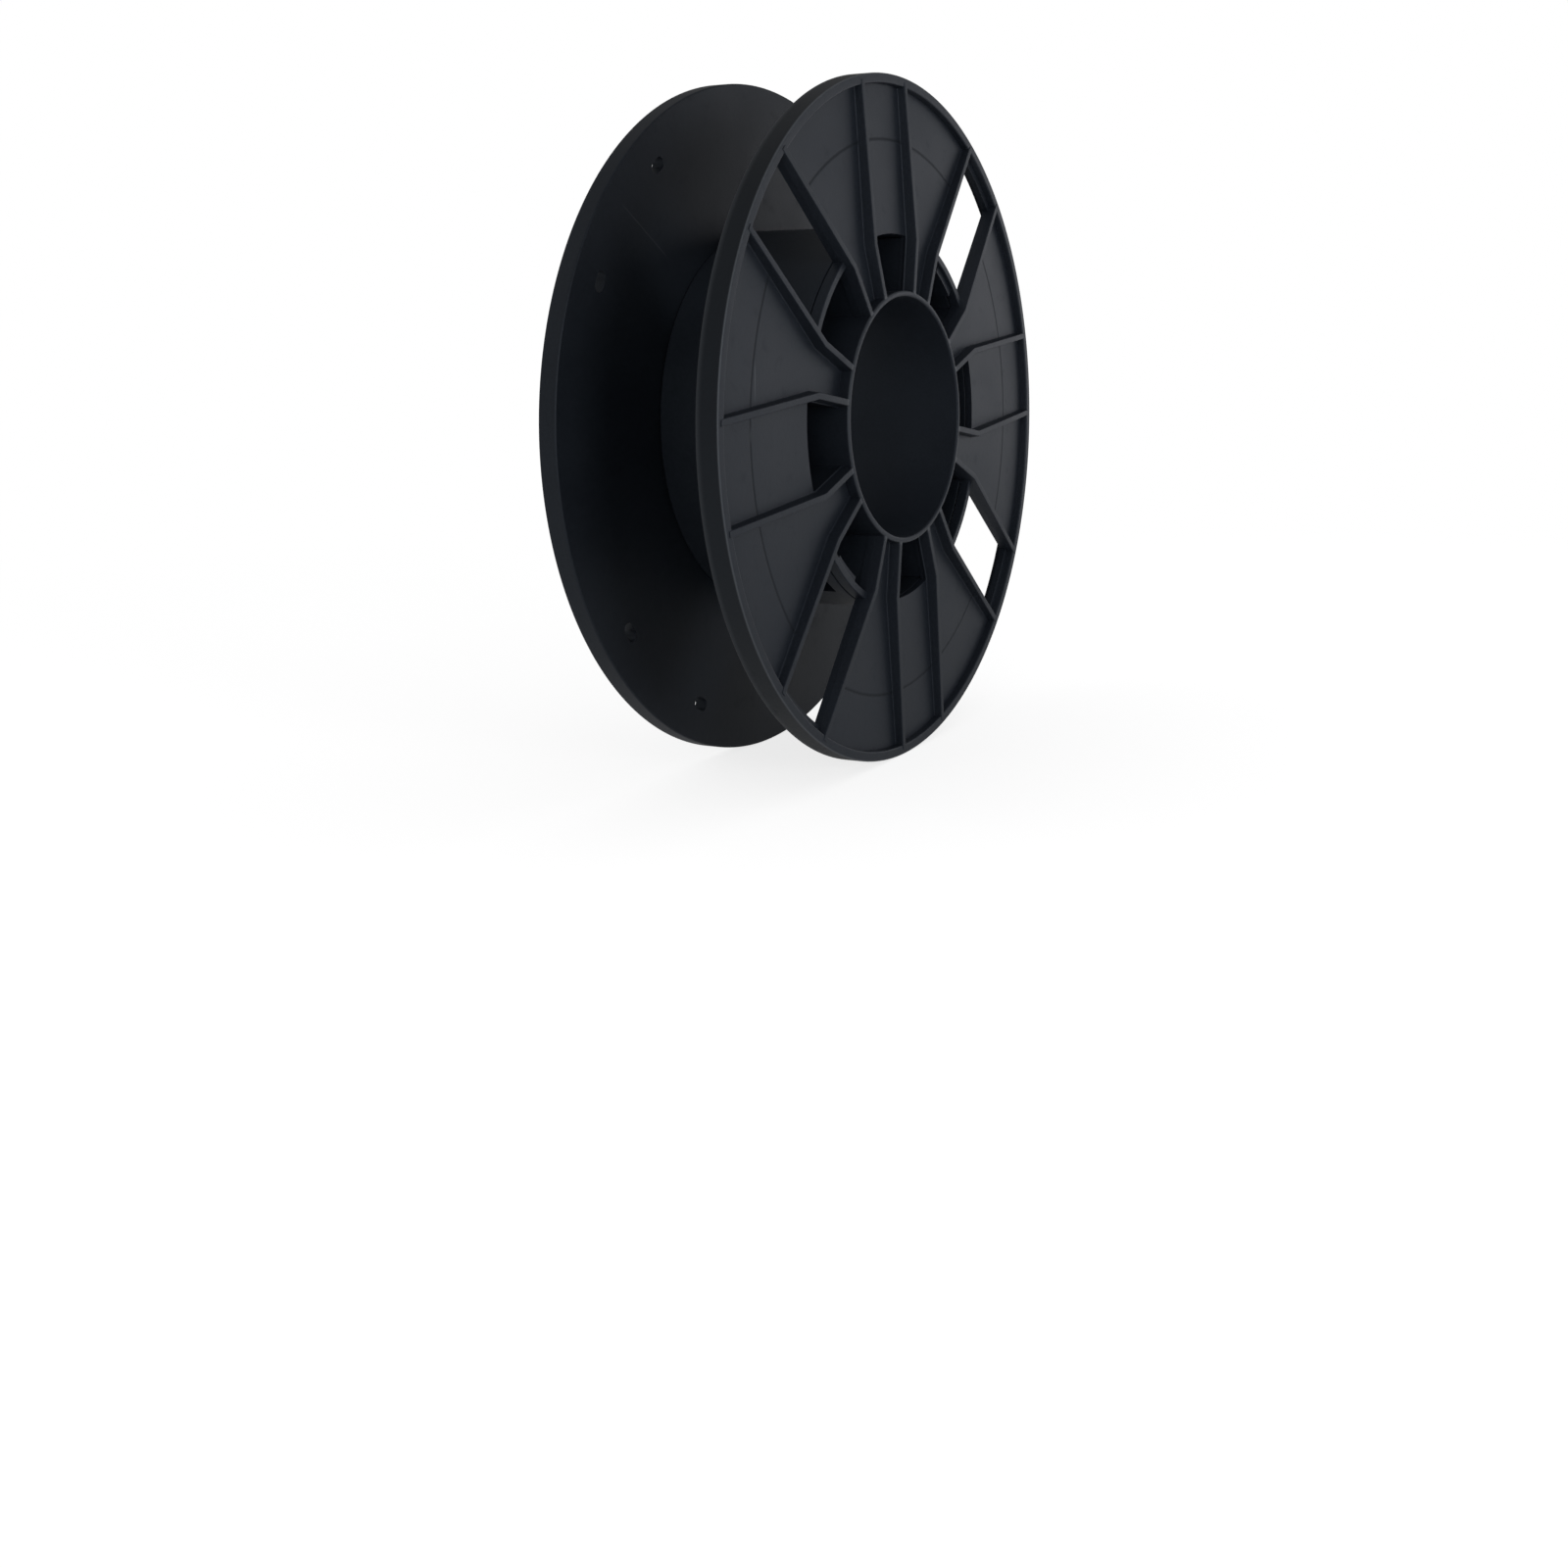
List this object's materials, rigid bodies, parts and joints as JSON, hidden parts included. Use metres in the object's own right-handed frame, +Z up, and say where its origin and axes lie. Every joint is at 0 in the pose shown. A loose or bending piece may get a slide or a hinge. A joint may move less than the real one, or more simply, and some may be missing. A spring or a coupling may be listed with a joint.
{
  "type": "filament spool",
  "caption": "Empty filament spool: a ribbed flange with a bore tube, a slotted hub drum and a plain flange that snap together.",
  "frame": {"origin": "centre of the reel, on its axis and midway between the bore tube's end and the plain flange's outer face", "axes": "+Y along the axis from the ribbed flange to the plain one, +Z up, +X to the right seen from the ribbed face"},
  "size_m": [0.2, 0.0536, 0.2],
  "materials": {
    "ribbed_flange": "fine moulded satin, near black",
    "hub_drum": "fine moulded satin, near black",
    "plain_flange": "fine moulded satin, near black"
  },
  "bodies": {
    "ribbed_flange": {"ribbed_flange": "ribbed_flange"},
    "hub_drum": {"hub_drum": "hub_drum"},
    "plain_flange": {"plain_flange": "plain_flange"}
  },
  "joints": [
    {"name": "drum_pull_off", "type": "slide", "parent": "ribbed_flange", "child": "hub_drum", "axis": [0, 1, 0], "range_m": [0, 0.06]},
    {"name": "plain_flange_pull_off", "type": "slide", "parent": "hub_drum", "child": "plain_flange", "axis": [0, 1, 0], "range_m": [0, 0.06]}
  ]
}
